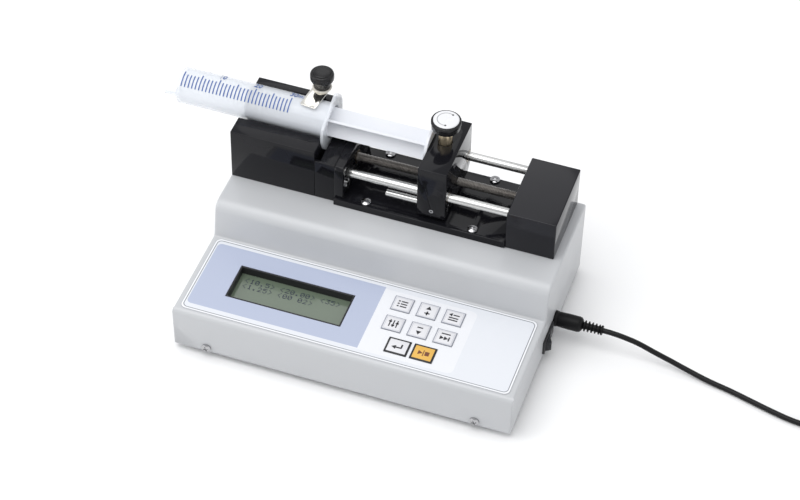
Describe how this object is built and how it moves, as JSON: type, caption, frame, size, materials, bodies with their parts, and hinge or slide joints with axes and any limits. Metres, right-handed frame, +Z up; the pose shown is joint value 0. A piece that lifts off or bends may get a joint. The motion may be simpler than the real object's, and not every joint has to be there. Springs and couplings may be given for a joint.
{
  "type": "infusion pump",
  "caption": "Bench syringe infusion pump: stepped sheet-metal casing with display and keys, screw-driven pusher on twin rods, loaded syringe, clamp, rocker switch and plug-in DC lead.",
  "frame": {"origin": "middle of the casing's footprint, on the surface that its feet stand on", "axes": "+X along the syringe towards the drive end and the power side, +Y from the control panel to the back, +Z up"},
  "size_m": [0.5311, 0.185, 0.1315],
  "materials": {
    "cover_paint": "satin",
    "base_steel": "satin",
    "foot_rubber": "matte",
    "screw_steel": "polished",
    "overlay_film": "satin",
    "display_frame": "satin",
    "display_glass": "gloss",
    "key_white": "satin",
    "key_amber": "satin",
    "board_green": "satin",
    "switch_caps": "matte",
    "standoff_brass": "satin",
    "socket_plastic": "satin",
    "rocker_plastic": "satin",
    "block_black": "gloss",
    "cover_black": "gloss",
    "rod_steel": "polished",
    "bearing_bronze": "satin",
    "screw_dark": "satin",
    "gear_brass": "satin",
    "motor_steel": "satin",
    "shaft_steel": "polished",
    "collar_brass": "polished",
    "knob_black": "satin",
    "cap_white": "gloss",
    "post_black": "satin",
    "spring_steel": "satin",
    "strip_steel": "polished",
    "washer_nylon": "satin",
    "barrel_clear": "gloss",
    "plunger_white": "satin",
    "gasket_rubber": "matte",
    "plug_black": "satin",
    "lead_black": "satin",
    "adapter_black": "matte"
  },
  "bodies": {
    "casing": {"housing_cover": "cover_paint", "base_plate": "base_steel", "rubber_feet": "foot_rubber", "cover_screws": "screw_steel", "panel_overlay": "overlay_film", "display_bezel": "display_frame", "display_module": "display_glass", "key_board": "board_green", "key_switches": "switch_caps", "main_board": "board_green", "board_standoffs": "standoff_brass", "power_jack": "socket_plastic", "power_switch_body": "socket_plastic", "syringe_block": "block_black", "flange_block": "block_black", "bearing_plate_left": "block_black", "drive_rail": "block_black", "drive_screws": "screw_steel", "end_cover": "cover_black", "bearing_plate_right": "block_black", "guide_rod_front": "rod_steel", "guide_rod_rear": "rod_steel", "screw_bearings": "bearing_bronze", "motor": "motor_steel", "motor_bracket": "motor_steel", "clamp_spring": "spring_steel", "syringe_barrel": "barrel_clear", "dc_plug": "plug_black", "plug_boot": "plug_black", "lead_run": "lead_black", "lead_coil": "lead_black", "ac_adapter": "adapter_black"},
    "screw": {"lead_screw": "screw_dark", "screw_gear": "gear_brass"},
    "rotor": {"motor_shaft": "shaft_steel", "motor_pinion": "gear_brass"},
    "carriage": {"pusher_block": "block_black", "guide_bushes": "bearing_bronze", "rod_set_screw": "screw_steel", "lock_collar": "collar_brass"},
    "stop_rod": {"stop_rod": "rod_steel"},
    "half_nut": {"half_nut": "bearing_bronze"},
    "lock": {"lock_shaft": "shaft_steel", "lock_knob": "knob_black", "lock_cap": "cap_white"},
    "clamp_lifter": {"clamp_post": "post_black", "clamp_washer": "washer_nylon", "clamp_knob": "knob_black"},
    "clamp_strip": {"clamp_strip": "strip_steel"},
    "plunger": {"syringe_plunger": "plunger_white", "plunger_gasket": "gasket_rubber"},
    "rocker": {"power_switch_rocker": "rocker_plastic"},
    "select_key": {"select_key": "key_white"},
    "increase_key": {"increase_key": "key_white"},
    "recall_key": {"recall_key": "key_white"},
    "control_key": {"control_key": "key_white"},
    "decrease_key": {"decrease_key": "key_white"},
    "advance_key": {"advance_key": "key_white"},
    "enter_key": {"enter_key": "key_white"},
    "run_key": {"run_key": "key_amber"}
  },
  "joints": [
    {"name": "carriage_slide", "type": "slide", "parent": "casing", "child": "carriage", "axis": [1, 0, 0], "range_m": [-0.025, 0.03]},
    {"name": "screw_spin", "type": "hinge", "parent": "casing", "child": "screw", "pos_m": [-0.0355, 0.0523, 0.0804], "axis": [1, 0, 0], "range_deg": [-10801, 9001]},
    {"name": "rotor_spin", "type": "hinge", "parent": "casing", "child": "rotor", "pos_m": [0.0843, 0.03923, 0.077], "axis": [1, 0, 0], "range_deg": [-18002, 21602]},
    {"name": "plunger_slide", "type": "slide", "parent": "casing", "child": "plunger", "axis": [1, 0, 0], "range_m": [-0.0251, 0.0301]},
    {"name": "stop_rod_slide", "type": "slide", "parent": "carriage", "child": "stop_rod", "axis": [1, 0, 0], "range_m": [0, 0.01]},
    {"name": "half_nut_lift", "type": "slide", "parent": "carriage", "child": "half_nut", "axis": [0, 0, 1], "range_m": [0, 0.0025]},
    {"name": "lock_turn", "type": "hinge", "parent": "carriage", "child": "lock", "pos_m": [0.0235, 0.055, 0.1202], "axis": [0, 0, 1], "range_deg": [0, 90.1]},
    {"name": "clamp_lift", "type": "slide", "parent": "casing", "child": "clamp_lifter", "axis": [0, 0, 1], "range_m": [0, 0.008], "stiffness_N_per_m": 600, "springref_m": -0.005, "deforming": ["clamp_spring"]},
    {"name": "clamp_swing", "type": "hinge", "parent": "clamp_lifter", "child": "clamp_strip", "pos_m": [-0.0666, 0.0689, 0.1172], "axis": [0, 0, 1], "range_deg": [-115, 0]},
    {"name": "switch_rock", "type": "hinge", "parent": "casing", "child": "rocker", "pos_m": [0.1135, -0.0005, 0.014], "axis": [0, 0, 1], "range_deg": [-24, 0]},
    {"name": "select_key_press", "type": "slide", "parent": "casing", "child": "select_key", "axis": [0, 0, 1], "range_m": [-0.00035, 0], "stiffness_N_per_m": 600},
    {"name": "increase_key_press", "type": "slide", "parent": "casing", "child": "increase_key", "axis": [0, 0, 1], "range_m": [-0.00035, 0], "stiffness_N_per_m": 600},
    {"name": "recall_key_press", "type": "slide", "parent": "casing", "child": "recall_key", "axis": [0, 0, 1], "range_m": [-0.00035, 0], "stiffness_N_per_m": 600},
    {"name": "control_key_press", "type": "slide", "parent": "casing", "child": "control_key", "axis": [0, 0, 1], "range_m": [-0.00035, 0], "stiffness_N_per_m": 600},
    {"name": "decrease_key_press", "type": "slide", "parent": "casing", "child": "decrease_key", "axis": [0, 0, 1], "range_m": [-0.00035, 0], "stiffness_N_per_m": 600},
    {"name": "advance_key_press", "type": "slide", "parent": "casing", "child": "advance_key", "axis": [0, 0, 1], "range_m": [-0.00035, 0], "stiffness_N_per_m": 600},
    {"name": "enter_key_press", "type": "slide", "parent": "casing", "child": "enter_key", "axis": [0, 0, 1], "range_m": [-0.00035, 0], "stiffness_N_per_m": 600},
    {"name": "run_key_press", "type": "slide", "parent": "casing", "child": "run_key", "axis": [0, 0, 1], "range_m": [-0.00035, 0], "stiffness_N_per_m": 600}
  ],
  "couplings": [
    {"joint": "screw_spin", "follows": "carriage_slide", "rad_per_m": -6283.2},
    {"joint": "rotor_spin", "follows": "carriage_slide", "rad_per_m": 12566},
    {"joint": "plunger_slide", "follows": "carriage_slide", "ratio": 1},
    {"joint": "lock_turn", "follows": "half_nut_lift", "rad_per_m": 628.32}
  ]
}
